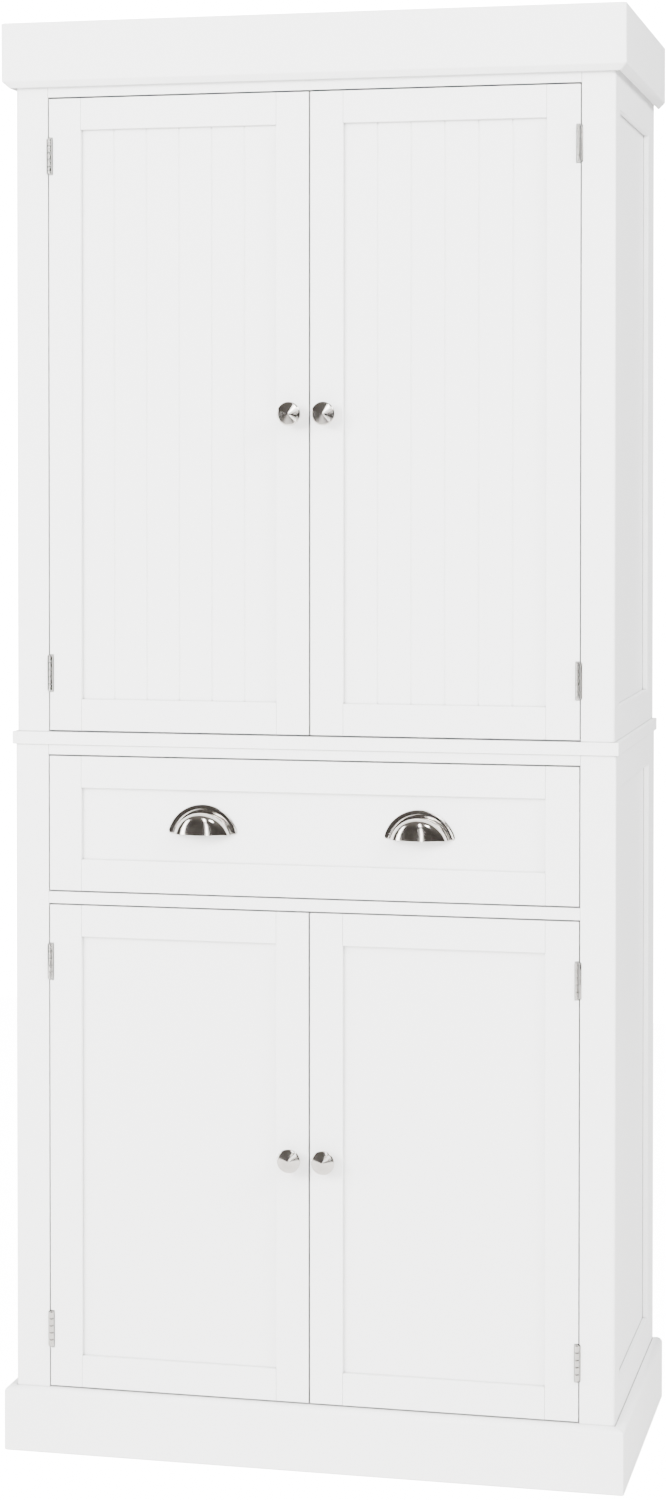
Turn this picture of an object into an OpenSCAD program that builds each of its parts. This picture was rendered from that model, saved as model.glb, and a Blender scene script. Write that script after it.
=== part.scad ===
// Two-section pantry cabinet: four inset doors, one drawer, a box cornice and a plinth.
// Frame: +Z up, the front faces -Y, the origin is on the floor under the middle of the
// cabinet, counted from the tips of the knobs to the back edge. Millimetres.

/* [Overall] */
// Width over the plinth and the cornice
overall_w = 800; // [660:1:960]
// Height from the floor to the top of the cornice
overall_h = 1830; // [1500:1:2200]
// Depth from the plinth's face to the back edge
overall_d = 410; // [340:1:500]

/* [Front layout] */
// Height of the plinth, which is also where the lower door opening starts
plinth_h = 82; // [60:1:120]
// Height of the lower door opening
lower_opening_h = 624; // [500:1:760]
// Height of the drawer opening
drawer_opening_h = 176; // [140:1:220]
// Rail that shows between the drawer opening and the waist board
lower_rail_h = 13; // [10:1:40]
// Rail that shows between the upper door opening and the cornice
upper_rail_h = 12; // [8:1:40]
// Width of an upper corner post, seen from the front
post_w = 42; // [36:1:60]
// Amount that the lower section stands proud of the upper one, at the front and each side
lower_proud = 2; // [0:0.5:4]

/* [Boards] */
// Thickness of the doors, rails and side frames
board_t = 18; // [15:1:22]
// Thickness of the shelves, the divider, the bottom and the top
shelf_t = 15; // [12:1:18]
// Thickness of the waist board
waist_t = 16; // [12:1:22]
// Thickness of the panels held in the frames
panel_t = 6; // [4:0.5:7]
// Step from a frame's face back to its panel
panel_recess = 7; // [4:0.5:8]
// Thickness of the hardboard backs
back_t = 3; // [2.5:0.5:5]
// Depth of a corner post's face part
face_d = 24; // [20:1:32]
// Width of a corner post on the cabinet's side
side_post_w = 42; // [38:1:60]
// Width of a side frame's back stile
back_stile_w = 62; // [40:1:80]
// Side rail that shows above and below each side panel
side_rail_w = 42; // [30:1:60]
// Radius of a corner post's outer edge
post_edge_r = 3; // [1:0.5:6]

/* [Mouldings] */
// Height of the cornice
cornice_h = 82; // [60:1:120]
// Thickness of the cornice boards
cornice_t = 15; // [12:1:22]
// Chamfer under the cornice
cornice_chamfer = 8; // [2:1:8]
// Height of the rebate behind the cornice's lower edge, which shows as a shadow line
cornice_rebate_h = 6; // [2:1:10]
// Thickness of the plinth boards
plinth_t = 13; // [11:1:20]
// Radius of the plinth's top edge
plinth_edge_r = 7; // [2:1:9]
// Amount that the waist board stands past the upper section
waist_overhang = 5.5; // [3:0.5:10]

/* [Doors and drawer] */
// Width of a door's or the drawer front's stiles
stile_w = 42; // [36:1:60]
// Width of a door's or the drawer front's rails
rail_w = 40; // [34:1:60]
// Depth of the grooves that hold the panels
groove_d = 8; // [6:1:12]
// Gap beside a hinged or sliding edge
side_gap = 1.5; // [1.2:0.1:2.2]
// Gap above and below a front, and between a pair of doors
reveal = 2; // [1.5:0.1:3]
// Number of boards cut into an upper door's panel
bead_boards = 6; // [3:1:9]
// Depth of the V grooves between those boards
bead_groove_d = 1.5; // [0.8:0.1:2]
// Thickness of the drawer box's sides, front and back
drawer_side_t = 12; // [10:1:15]
// Height of the drawer box
drawer_box_h = 120; // [80:1:130]
// Thickness of the drawer's bottom
drawer_bottom_t = 5; // [3:0.5:6]

/* [Hardware] */
// Diameter of a door knob
knob_d = 30; // [24:1:38]
// Distance that a knob stands out from its door
knob_reach = 25; // [24:1:34]
// Width of a cup pull
pull_w = 92; // [80:1:110]
// Height of a cup pull
pull_h = 37; // [30:1:44]
// Distance that a cup pull stands out from the drawer's panel
pull_reach = 23; // [19:1:27]
// Distance between the middles of the two cup pulls
pull_spacing = 280; // [200:1:340]
// Height of a cup pull's middle above the drawer front's middle
pull_rise = 9; // [0:1:12]
// Height of a hinge
hinge_h = 45; // [40:1:60]
// Distance from a door's end to the middle of a hinge
hinge_inset = 73; // [55:1:100]
// Diameter of a hinge's knuckle
knuckle_d = 5.8; // [5.4:0.1:6]
// Diameter of a hinge's pin
pin_d = 2.5; // [2:0.1:3]
// Thickness of a hinge leaf
leaf_t = 1.4; // [1:0.1:1.6]
// Width of a hinge leaf
leaf_w = 15; // [12:0.5:17]
// Height of a drawer slide
slide_h = 42; // [35:1:46]
// Diameter of a shelf pin
shelf_pin_d = 5; // [4:0.5:6]
// Diameter of the screw holes for fixing the cabinet to a wall
wall_hole_d = 5; // [4:0.5:7]
// Distance between those two holes
wall_hole_spacing = 400; // [300:1:520]

/* [Hidden] */
$fn = 48;
eps = 0.01;
joint_gap = 0.1;          // glue line between boards that meet
fit = 0.2;                // looseness of a panel in its groove

// levels
lower_floor_z = plinth_h;
divider_z = lower_floor_z + lower_opening_h;
drawer_floor_z = divider_z + shelf_t;
lower_rail_z = drawer_floor_z + drawer_opening_h;
waist_z = lower_rail_z + lower_rail_h;
upper_floor_z = waist_z + waist_t;
cornice_z = overall_h - cornice_h;
upper_rail_z = cornice_z - upper_rail_h;
top_z = overall_h - shelf_t;

// widths, measured from the middle plane
lower_half = overall_w / 2 - plinth_t;
upper_half = lower_half - lower_proud;
opening_half = upper_half - post_w;
door_in = reveal / 2;
door_out = opening_half - side_gap;
drawer_half = opening_half - side_gap;

// depths
front_reach = max(knob_reach, pull_reach - panel_recess);
lower_y = (front_reach + plinth_t - overall_d) / 2;
upper_y = lower_y + lower_proud;
back_y = lower_y - plinth_t + overall_d;
inner_back_y = back_y - back_t - fit;
shelf_front_gap = 2;
cornice_lip_t = 1.8;      // flat left between the cornice's chamfer and its rebate

// drawer box and slides: three layers beside each side of the box
slide_layer_t = 4;
slide_layer_gap = 0.35;
slide_total_t = 3 * slide_layer_t + 2 * slide_layer_gap;
box_half = opening_half - slide_total_t;
box_front_y = lower_y + board_t;
box_back_gap = 25;
box_back_y = inner_back_y - box_back_gap;
box_rise = 18;
box_z = drawer_floor_z + box_rise;
slide_step = 50;          // slides are sold in steps of this length
slide_len = floor((box_back_y - box_front_y) / slide_step) * slide_step;
slide_z = box_z + drawer_box_h / 2;
drawer_bottom_rise = 10;
drawer_groove_d = 6;

// hinges: the axis stands just proud of the door's face, inside a notch in the door
knuckle_proud = 1;
axis_in = knuckle_d / 2 + 0.2;
knuckle_count = 5;
knuckle_gap = 0.3;
pin_fit = 0.05;
pin_head_h = 0.8;
hinge_clear = 0.5;

// small fittings
screw_d = 4;
screw_clear = 0.3;
screw_head_d = 8;
screw_head_h = 2.4;
catch_w = 40;
catch_d = 16;
catch_h = 14;
strike_t = 1.2;
strike_h = 10;
catch_air = 0.4;
pin_out = 8;
pin_hole_step = 32;
wall_rail_h = 70;

function hinge_levels(z_low, z_high) =
    [z_low + reveal + hinge_inset, z_high - reveal - hinge_inset];
function upper_shelf_z(n) =
    upper_floor_z + n * (top_z - upper_floor_z) / 3 - shelf_t / 2;
// the front shelf pins stand between a corner post's face part and its panel groove
function front_pin_y(y_front) = y_front + (face_d + side_post_w - groove_d) / 2;
function lower_shelf_z() = lower_floor_z + (divider_z - lower_floor_z) / 2 - shelf_t / 2;

// ---------- shared shapes ----------

// what is drawn for the right-hand side, and its mirror image on the left
module on_side(side) {
    if (side > 0) children();
    else mirror([1, 0, 0]) children();
}

// a box given by its low and high corners
module block(low, high) {
    translate(low) cube(high - low);
}

// a round hole or rod along +Y from a start point
module rod_y(start, d, len) {
    translate(start) rotate([-90, 0, 0]) cylinder(d = d, h = len);
}

// an upright frame member standing at x = 0..w, grooved along one edge for the panel
module stile(w, h, groove_edge) {
    difference() {
        cube([w, board_t, h]);
        translate([groove_edge > 0 ? w - groove_d : -eps, panel_recess - fit / 2, -eps])
            cube([groove_d + eps, panel_t + fit, h + 2 * eps]);
    }
}

// a level frame member of length len, with a tongue in each stile's groove
module rail(len, w, groove_edge) {
    difference() {
        translate([joint_gap, 0, 0]) cube([len - 2 * joint_gap, board_t, w]);
        translate([-eps, panel_recess - fit / 2, groove_edge > 0 ? w - groove_d : -eps])
            cube([len + 2 * eps, panel_t + fit, groove_d + eps]);
    }
    tongue = groove_d - fit;
    for (x = [-tongue, len - joint_gap - eps])
        translate([x, panel_recess + fit / 2, groove_edge > 0 ? 0 : groove_d])
            cube([tongue + joint_gap + eps, panel_t - fit, w - groove_d]);
}

// the flat panel that fills a frame opening of w by h, let into the grooves all round
module let_in_panel(w, h) {
    lap = groove_d - fit;
    translate([-lap, panel_recess, -lap]) cube([w + 2 * lap, panel_t, h + 2 * lap]);
}

// ---------- side frames ----------

// one right-hand side, worked in its own plane: x runs from front to back, y is inwards
module side_plane(half, y_front) {
    translate([half, y_front, 0]) rotate([0, 0, 90]) children();
}

// the L-shaped corner post, with its rounded outer edge and its panel groove
module corner_post(half, y_front, z_low, z_high, hinges, pin_levels) {
    difference() {
        translate([0, 0, z_low]) linear_extrude(z_high - z_low) union() {
            translate([opening_half, y_front]) square([half - opening_half - post_edge_r, face_d]);
            translate([half - board_t, y_front + post_edge_r])
                square([board_t, side_post_w - post_edge_r]);
            translate([half - post_edge_r, y_front + post_edge_r]) circle(r = post_edge_r);
        }
        side_plane(half, y_front)
            translate([side_post_w - groove_d, panel_recess - fit / 2, z_low - eps])
                cube([groove_d + eps, panel_t + fit, z_high - z_low + 2 * eps]);
        for (z = hinges)
            block([opening_half - eps, y_front - eps, z - hinge_h / 2 - joint_gap],
                  [opening_half + leaf_t + joint_gap, y_front + leaf_w + joint_gap,
                   z + hinge_h / 2 + joint_gap]);
        pin_holes(half, front_pin_y(y_front), pin_levels);
    }
}

// the stile at the back edge, rebated inside for the hardboard back
module back_stile(half, y_front, z_low, z_high, pin_levels) {
    difference() {
        side_plane(half, y_front)
            translate([back_y - y_front - back_stile_w, 0, z_low])
                stile(back_stile_w, z_high - z_low, -1);
        block([half - board_t - eps, inner_back_y, z_low - eps],
              [half - board_t + groove_d, back_y + eps, z_high + eps]);
        pin_holes(half, back_y - back_stile_w / 2, pin_levels);
    }
}

// a short row of shelf-pin holes round each shelf level
module pin_holes(half, y, levels) {
    for (z = levels, step = [-1, 0, 1])
        translate([half - board_t - eps, y, z - shelf_pin_d / 2 + step * pin_hole_step])
            rotate([0, 90, 0]) cylinder(d = shelf_pin_d + joint_gap, h = pin_out + 1);
}

module side_frame(half, y_front, z_low, z_high, low_rail, high_rail, hinges, pin_levels) {
    rail_len = back_y - y_front - side_post_w - back_stile_w;
    color("whitesmoke") {
        corner_post(half, y_front, z_low, z_high, hinges, pin_levels);
        back_stile(half, y_front, z_low, z_high, pin_levels);
        side_plane(half, y_front) {
            translate([side_post_w, 0, z_low]) rail(rail_len, low_rail, 1);
            translate([side_post_w, 0, z_high - high_rail]) rail(rail_len, high_rail, -1);
        }
    }
}

module side_panel(half, y_front, z_low, z_high) {
    color("whitesmoke") side_plane(half, y_front) translate([side_post_w, 0, z_low])
        let_in_panel(back_y - y_front - side_post_w - back_stile_w, z_high - z_low);
}

module upper_side_frame(side) {
    on_side(side) side_frame(upper_half, upper_y, upper_floor_z, top_z, side_rail_w,
        side_rail_w + cornice_h - shelf_t, hinge_levels(upper_floor_z, upper_rail_z),
        [upper_shelf_z(1), upper_shelf_z(2)]);
}

module upper_side_panel(side) {
    on_side(side) side_panel(upper_half, upper_y, upper_floor_z + side_rail_w,
        cornice_z - side_rail_w);
}

module lower_side_frame(side) {
    on_side(side) side_frame(lower_half, lower_y, 0, waist_z, plinth_h + side_rail_w,
        side_rail_w, hinge_levels(lower_floor_z, divider_z), [lower_shelf_z()]);
}

module lower_side_panel(side) {
    on_side(side) side_panel(lower_half, lower_y, plinth_h + side_rail_w,
        waist_z - side_rail_w);
}

// ---------- cornice and plinth ----------

module cornice_profile() {
    rebate = cornice_t - cornice_chamfer - cornice_lip_t;
    polygon([[rebate, 0], [cornice_t - cornice_chamfer, 0], [cornice_t, cornice_chamfer],
             [cornice_t, cornice_h], [0, cornice_h], [0, cornice_rebate_h],
             [rebate, cornice_rebate_h]]);
}

module plinth_profile() {
    square([plinth_t, plinth_h - plinth_edge_r]);
    square([plinth_t - plinth_edge_r, plinth_h]);
    intersection() {
        square([plinth_t, plinth_h]);
        translate([plinth_t - plinth_edge_r, plinth_h - plinth_edge_r])
            circle(r = plinth_edge_r);
    }
}

// a run of moulding along the right side, its profile facing outwards, mitred at the front
module side_run(half, y_front, z, t) {
    difference() {
        translate([half, back_y, z]) rotate([90, 0, 0])
            linear_extrude(back_y - y_front + t) children();
        mitre_cut(half, y_front, t, -1);
    }
}

// a run of moulding across the front, mitred at both ends
module front_run(half, y_front, z, t) {
    difference() {
        translate([half + t, y_front, z]) rotate([0, 0, -90]) rotate([90, 0, 0])
            linear_extrude(2 * (half + t)) children();
        for (side = [-1, 1]) on_side(side) mitre_cut(half, y_front, t, 1);
    }
}

// everything in front of (-1) or beside (1) the 45 degree plane through the right corner
module mitre_cut(half, y_front, t, way) {
    reach = 6 * t;
    translate([half, y_front, -eps]) rotate([0, 0, -45])
        translate([-reach, way > 0 ? -joint_gap / 2 : -2 * reach + joint_gap / 2, 0])
            cube([2 * reach, 2 * reach, overall_h + 2 * eps]);
}

module cornice_front() {
    color("whitesmoke") front_run(upper_half, upper_y, cornice_z, cornice_t)
        cornice_profile();
}

module cornice_sides() {
    color("whitesmoke") for (side = [-1, 1]) on_side(side)
        side_run(upper_half, upper_y, cornice_z, cornice_t) cornice_profile();
}

module plinth_front() {
    color("whitesmoke") front_run(lower_half, lower_y, 0, plinth_t) plinth_profile();
}

module plinth_sides() {
    color("whitesmoke") for (side = [-1, 1]) on_side(side)
        side_run(lower_half, lower_y, 0, plinth_t) plinth_profile();
}

// ---------- boards that join the sides ----------

// a board between the side frames, notched round the corner posts
module fixed_board(half, y_front, z, t) {
    inner = half - board_t;
    color("whitesmoke") difference() {
        block([-inner, y_front, z], [inner, inner_back_y, z + t]);
        for (side = [-1, 1]) on_side(side)
            block([opening_half, y_front - eps, z - eps], [inner + 1, y_front + face_d, z + t + eps]);
    }
}

module top_panel() {
    color("whitesmoke") block([-upper_half, upper_y, top_z], [upper_half, back_y, overall_h]);
}

module upper_top_rail() {
    color("whitesmoke") block([-opening_half + joint_gap, upper_y, upper_rail_z],
                              [opening_half - joint_gap, upper_y + board_t, top_z]);
}

module waist_board() {
    reach = upper_half + waist_overhang;
    color("whitesmoke") block([-reach, upper_y - waist_overhang, waist_z],
                              [reach, back_y, upper_floor_z]);
}

module lower_top_rail() {
    color("whitesmoke") block([-opening_half + joint_gap, lower_y, lower_rail_z],
                              [opening_half - joint_gap, lower_y + face_d, waist_z]);
}

module divider_board() {
    fixed_board(lower_half, lower_y, divider_z, shelf_t);
}

module lower_bottom_board() {
    fixed_board(lower_half, lower_y, lower_floor_z - shelf_t, shelf_t);
}

// hardboard backs, let into the rebates of the back stiles
module back_panel(half, z_low, z_high) {
    reach = half - board_t + groove_d - fit;
    color("tan") block([-reach, back_y - back_t, z_low], [reach, back_y, z_high]);
}

module upper_back_panel() {
    difference() {
        back_panel(upper_half, upper_floor_z, top_z);
        wall_holes();
    }
}

module lower_back_panel() {
    back_panel(lower_half, lower_floor_z, waist_z);
}

module wall_fixing_rail() {
    reach = upper_half - board_t;
    color("burlywood") difference() {
        block([-reach, inner_back_y - board_t, top_z - wall_rail_h], [reach, inner_back_y, top_z]);
        wall_holes();
    }
}

// the two screw holes through the fixing rail and the back
module wall_holes() {
    for (x = [-1, 1] * wall_hole_spacing / 2)
        rod_y([x, inner_back_y - board_t - 1, top_z - wall_rail_h / 2], wall_hole_d,
              board_t + back_t + 3);
}

// ---------- shelves ----------

module loose_shelf(half, y_front, z) {
    reach = half - board_t - 1;
    color("whitesmoke") block([-reach, y_front + face_d + shelf_front_gap, z],
                              [reach, inner_back_y - shelf_front_gap, z + shelf_t]);
}

module high_shelf() { loose_shelf(upper_half, upper_y, upper_shelf_z(2)); }
module middle_shelf() { loose_shelf(upper_half, upper_y, upper_shelf_z(1)); }
module lower_shelf() { loose_shelf(lower_half, lower_y, lower_shelf_z()); }

// four pins under each shelf, half in the side and half under the shelf
module shelf_pins() {
    color("silver") for (side = [-1, 1]) on_side(side) {
        for (n = [1, 2]) pin_pair(upper_half, upper_y, upper_shelf_z(n));
        pin_pair(lower_half, lower_y, lower_shelf_z());
    }
}

module pin_pair(half, y_front, z) {
    for (y = [front_pin_y(y_front), back_y - back_stile_w / 2])
        translate([half - board_t - pin_out, y, z - shelf_pin_d / 2]) rotate([0, 90, 0])
            cylinder(d = shelf_pin_d, h = 2 * pin_out);
}

// ---------- hinges ----------

// the knuckles with the given remainder (0 frame, 1 door), bored for the pin
module knuckles(y_face, z, owner) {
    step = hinge_h / knuckle_count;
    for (k = [owner : 2 : knuckle_count - 1])
        translate([opening_half - axis_in, y_face - knuckle_proud,
                   z - hinge_h / 2 + k * step + knuckle_gap / 2])
            cylinder(d = knuckle_d, h = step - knuckle_gap);
}

module pin_bore(y_face, z) {
    translate([opening_half - axis_in, y_face - knuckle_proud, z - hinge_h])
        cylinder(d = pin_d + 2 * pin_fit, h = 2 * hinge_h);
}

// small blocks that carry the knuckles on their leaf
module necks(y_face, z, owner, x_low, x_high, y_high) {
    step = hinge_h / knuckle_count;
    for (k = [owner : 2 : knuckle_count - 1])
        block([x_low, y_face, z - hinge_h / 2 + k * step + knuckle_gap / 2],
              [x_high, y_face + y_high, z - hinge_h / 2 + (k + 1) * step - knuckle_gap / 2]);
}

module frame_leaf(y_face, z) {
    difference() {
        union() {
            block([opening_half, y_face, z - hinge_h / 2],
                  [opening_half + leaf_t, y_face + leaf_w, z + hinge_h / 2]);
            necks(y_face, z, 0, opening_half - axis_in + pin_d / 2 + pin_fit + 0.2,
                  opening_half + eps, leaf_t);
            knuckles(y_face, z, 0);
        }
        pin_bore(y_face, z);
    }
}

module door_leaf(y_face, z) {
    plate_start = knuckle_d / 2 - knuckle_proud + 0.3;
    difference() {
        union() {
            block([door_out - leaf_t, y_face + plate_start, z - hinge_h / 2],
                  [door_out, y_face + leaf_w, z + hinge_h / 2]);
            necks(y_face, z, 1, door_out - leaf_t, door_out, plate_start + eps);
            knuckles(y_face, z, 1);
        }
        pin_bore(y_face, z);
    }
}

// the cut in a door's edge for the knuckles and the leaf
module hinge_notch(y_face, z) {
    x_clear = opening_half - axis_in - knuckle_d / 2 - hinge_clear;
    tall = hinge_h / 2 + pin_head_h + hinge_clear;
    block([x_clear, y_face - 1, z - tall],
          [door_out + 1, y_face + knuckle_d / 2 - knuckle_proud + hinge_clear, z + tall]);
    block([door_out - leaf_t - joint_gap, y_face, z - hinge_h / 2 - joint_gap],
          [door_out + 1, y_face + leaf_w + joint_gap, z + hinge_h / 2 + joint_gap]);
}

module hinge_pin(y_face, z) {
    translate([opening_half - axis_in, y_face - knuckle_proud, 0]) {
        translate([0, 0, z - hinge_h / 2 - pin_head_h])
            cylinder(d = pin_d, h = hinge_h + 2 * pin_head_h);
        for (end_z = [z - hinge_h / 2 - pin_head_h, z + hinge_h / 2])
            translate([0, 0, end_z]) cylinder(d = knuckle_d - 1, h = pin_head_h);
    }
}

// the same thing at all eight hinges of the cabinet
module at_each_hinge() {
    for (side = [-1, 1]) on_side(side) {
        for ($z = hinge_levels(upper_floor_z, upper_rail_z)) let ($y = upper_y) children();
        for ($z = hinge_levels(lower_floor_z, divider_z)) let ($y = lower_y) children();
    }
}

module hinge_frame_leaves() {
    color("silver") at_each_hinge() frame_leaf($y, $z);
}

module hinge_pins() {
    color("silver") at_each_hinge() hinge_pin($y, $z);
}

module hinge_leaves(side, y_face, z_low, z_high) {
    color("silver") on_side(side) for (z = hinge_levels(z_low, z_high)) door_leaf(y_face, z);
}

// ---------- doors ----------

function door_panel_w() = door_out - door_in - 2 * stile_w;
function knob_x() = door_in + stile_w / 2;
function knob_z(z_low, z_high) = (z_low + z_high) / 2;

module door_frame(side, y_face, z_low, z_high) {
    low = z_low + reveal;
    tall = z_high - z_low - 2 * reveal;
    color("whitesmoke") on_side(side) {
        difference() {
            translate([door_in, y_face, low]) stile(stile_w, tall, 1);
            rod_y([knob_x(), y_face - 1, knob_z(z_low, z_high)], screw_d + 2 * screw_clear,
                  board_t + 2);
        }
        difference() {
            translate([door_out - stile_w, y_face, low]) stile(stile_w, tall, -1);
            for (z = hinge_levels(z_low, z_high)) hinge_notch(y_face, z);
        }
        translate([door_in + stile_w, y_face, low]) rail(door_panel_w(), rail_w, 1);
        translate([door_in + stile_w, y_face, low + tall - rail_w])
            rail(door_panel_w(), rail_w, -1);
    }
}

module door_panel(side, y_face, z_low, z_high, boards) {
    panel_h = z_high - z_low - 2 * reveal - 2 * rail_w;
    pitch = door_panel_w() / boards;
    color("whitesmoke") on_side(side)
        translate([door_in + stile_w, y_face, z_low + reveal + rail_w]) difference() {
            let_in_panel(door_panel_w(), panel_h);
            if (boards > 1) for (n = [1 : boards - 1])
                translate([n * pitch, panel_recess, -groove_d]) rotate([0, 0, 45])
                    translate([-bead_groove_d, -bead_groove_d, 0] / sqrt(2))
                        cube([bead_groove_d * sqrt(2), bead_groove_d * sqrt(2),
                              panel_h + 2 * groove_d]);
        }
}

// a turned knob with a neck, a short rim and a low cone face, and the screw that holds it
module knob(side, y_face, z) {
    neck_r = knob_d / 5;
    foot_r = knob_d / 4;
    rim_h = 3;
    cone_h = 3.5;
    flare_h = 7;
    bore_h = 10;
    on_side(side) translate([knob_x(), y_face, z]) {
        color("silver") rotate([90, 0, 0]) difference() {
            rotate_extrude() polygon([
                [0, 0], [foot_r, 0], [foot_r, 2], [neck_r, 4],
                [neck_r, knob_reach - cone_h - rim_h - flare_h],
                [knob_d / 2, knob_reach - cone_h - rim_h],
                [knob_d / 2, knob_reach - cone_h], [0, knob_reach]
            ]);
            translate([0, 0, -eps]) cylinder(d = screw_d + joint_gap, h = bore_h + eps);
        }
        color("silver") {
            rod_y([0, 1 - bore_h, 0], screw_d, bore_h - 1 + board_t);
            rod_y([0, board_t, 0], screw_head_d, screw_head_h);
        }
    }
}

// the steel plate on a door's back that meets its magnetic catch
module strike_plate(side, y_face, z_low) {
    color("silver") on_side(side)
        block([door_in + stile_w, y_face + board_t, z_low],
              [door_in + stile_w + catch_w, y_face + board_t + strike_t, z_low + strike_h]);
}

module magnetic_catches() {
    color("white") for (side = [-1, 1]) on_side(side) {
        catch_body(upper_y, upper_floor_z);
        catch_body(lower_y, divider_z - catch_h);
    }
}

module catch_body(y_face, z) {
    y_start = y_face + board_t + strike_t + catch_air;
    block([door_in + stile_w, y_start, z], [door_in + stile_w + catch_w, y_start + catch_d,
                                            z + catch_h]);
}

upper_strike_z = upper_floor_z + reveal + 1;
lower_strike_z = divider_z - reveal - 1 - strike_h;

// ---------- drawer ----------

drawer_z = drawer_floor_z + reveal;
drawer_h = drawer_opening_h - 2 * reveal;
drawer_panel_w = 2 * (drawer_half - stile_w);
pull_z = drawer_z + drawer_h / 2 + pull_rise - pull_h / 2;
pull_screw_x = pull_w / 2 - 6;
pull_screw_rise = 6;

module at_pull_screws() {
    for (pull_x = [-1, 1] * pull_spacing / 2, screw_x = [-1, 1] * pull_screw_x)
        translate([pull_x + screw_x, lower_y + panel_recess, pull_z + pull_screw_rise])
            children();
}

module drawer_front_frame() {
    color("whitesmoke") {
        translate([-drawer_half, lower_y, drawer_z]) stile(stile_w, drawer_h, 1);
        translate([drawer_half - stile_w, lower_y, drawer_z]) stile(stile_w, drawer_h, -1);
        translate([-drawer_half + stile_w, lower_y, drawer_z]) rail(drawer_panel_w, rail_w, 1);
        translate([-drawer_half + stile_w, lower_y, drawer_z + drawer_h - rail_w])
            rail(drawer_panel_w, rail_w, -1);
    }
}

module drawer_front_panel() {
    color("whitesmoke") difference() {
        translate([-drawer_half + stile_w, lower_y, drawer_z + rail_w])
            let_in_panel(drawer_panel_w, drawer_h - 2 * rail_w);
        at_pull_screws() rod_y([0, -1, 0], screw_d + 2 * screw_clear, panel_t + 2);
    }
}

// the groove in the drawer box that its bottom slides into
module drawer_bottom_groove() {
    reach = box_half - drawer_side_t + drawer_groove_d;
    block([-reach, box_front_y + drawer_side_t - drawer_groove_d, box_z + drawer_bottom_rise],
          [reach, box_back_y + 1, box_z + drawer_bottom_rise + drawer_bottom_t + fit]);
}

module drawer_sides() {
    color("burlywood") for (side = [-1, 1]) on_side(side) difference() {
        block([box_half - drawer_side_t, box_front_y, box_z],
              [box_half, box_back_y, box_z + drawer_box_h]);
        drawer_bottom_groove();
    }
}

module drawer_box_front() {
    reach = box_half - drawer_side_t - joint_gap;
    color("burlywood") difference() {
        block([-reach, box_front_y, box_z], [reach, box_front_y + drawer_side_t,
                                             box_z + drawer_box_h]);
        drawer_bottom_groove();
        at_pull_screws() rod_y([0, 0, 0], screw_d + 2 * screw_clear, board_t + drawer_side_t);
    }
}

// the back stands on the bottom, which slides in below it
module drawer_back() {
    reach = box_half - drawer_side_t - joint_gap;
    color("burlywood") block(
        [-reach, box_back_y - drawer_side_t, box_z + drawer_bottom_rise + drawer_bottom_t + fit],
        [reach, box_back_y, box_z + drawer_box_h]);
}

module drawer_bottom() {
    reach = box_half - drawer_side_t + drawer_groove_d - fit;
    color("burlywood") block(
        [-reach, box_front_y + drawer_side_t - drawer_groove_d + fit, box_z + drawer_bottom_rise],
        [reach, box_back_y, box_z + drawer_bottom_rise + drawer_bottom_t]);
}

// one layer of the slides on both sides of the drawer box, layer 0 against the box
module slide_layer(layer, h, y_start) {
    x = box_half + layer * (slide_layer_t + slide_layer_gap);
    bead = 1;
    color("silver") for (side = [-1, 1]) on_side(side) difference() {
        block([x, y_start, slide_z - h / 2],
              [x + slide_layer_t, y_start + slide_len, slide_z + h / 2]);
        for (edge = [-1, 1])
            block([x - eps, y_start - eps, slide_z + edge * h / 3 - bead],
                  [x + bead, y_start + slide_len + eps, slide_z + edge * h / 3 + bead]);
    }
}

module slide_drawer_members() { slide_layer(0, slide_h * 0.55, box_front_y); }
module slide_middle_members() { slide_layer(1, slide_h * 0.8, box_front_y); }
module slide_cabinet_members() { slide_layer(2, slide_h, box_front_y); }

// wooden runners that bring the slides out to the edge of the drawer opening
module slide_spacers() {
    color("burlywood") for (side = [-1, 1]) on_side(side)
        block([opening_half, lower_y + face_d, slide_z - slide_h / 2],
              [lower_half - board_t, inner_back_y, slide_z + slide_h / 2]);
}

// ---------- cup pulls ----------

// the arch shared by the flange and the bowl: a circle whose chord is the pull's width
arch_r = (pow(pull_w / 2, 2) + pow(pull_h, 2)) / (2 * pull_h);
flange_w = 8;
flange_t = 2.2;
bowl_t = 1.8;
bowl_side_reach = pull_reach / 2;

// a disc of the given radius about the arch's centre, from the panel out to reach
module arch_disc(r, reach) {
    translate([0, 0, pull_h - arch_r]) rotate([90, 0, 0]) cylinder(r = r, h = reach, $fn = 96);
}

// the bowl's outline, shrunk by wall: an arch with a face that curves round its middle
module bowl_body(wall) {
    half_chord = sqrt(pow(arch_r - flange_w, 2) - pow(arch_r - pull_h, 2));
    sag = pull_reach - bowl_side_reach;
    face_r = (pow(half_chord, 2) + pow(sag, 2)) / (2 * sag);
    intersection() {
        arch_disc(arch_r - flange_w - wall, pull_reach - wall);
        translate([0, face_r - pull_reach, -1])
            cylinder(r = face_r - wall, h = pull_h + 2, $fn = 128);
    }
}

module cup_pull() {
    half_w = pull_w / 2 + 1;
    difference() {
        intersection() {
            union() {
                arch_disc(arch_r, flange_t);
                bowl_body(0);
            }
            block([-half_w, -pull_reach - 1, 0], [half_w, 0, pull_h + 1]);
        }
        translate([0, 1, 0]) arch_disc(arch_r - flange_w - bowl_t, flange_t + 2);
        bowl_body(bowl_t);
        for (x = [-1, 1] * pull_screw_x)
            rod_y([x, -1.5, pull_screw_rise], screw_d + joint_gap, 2);
    }
}

module cup_pulls() {
    color("silver") for (x = [-1, 1] * pull_spacing / 2)
        translate([x, lower_y + panel_recess, pull_z]) cup_pull();
}

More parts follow.
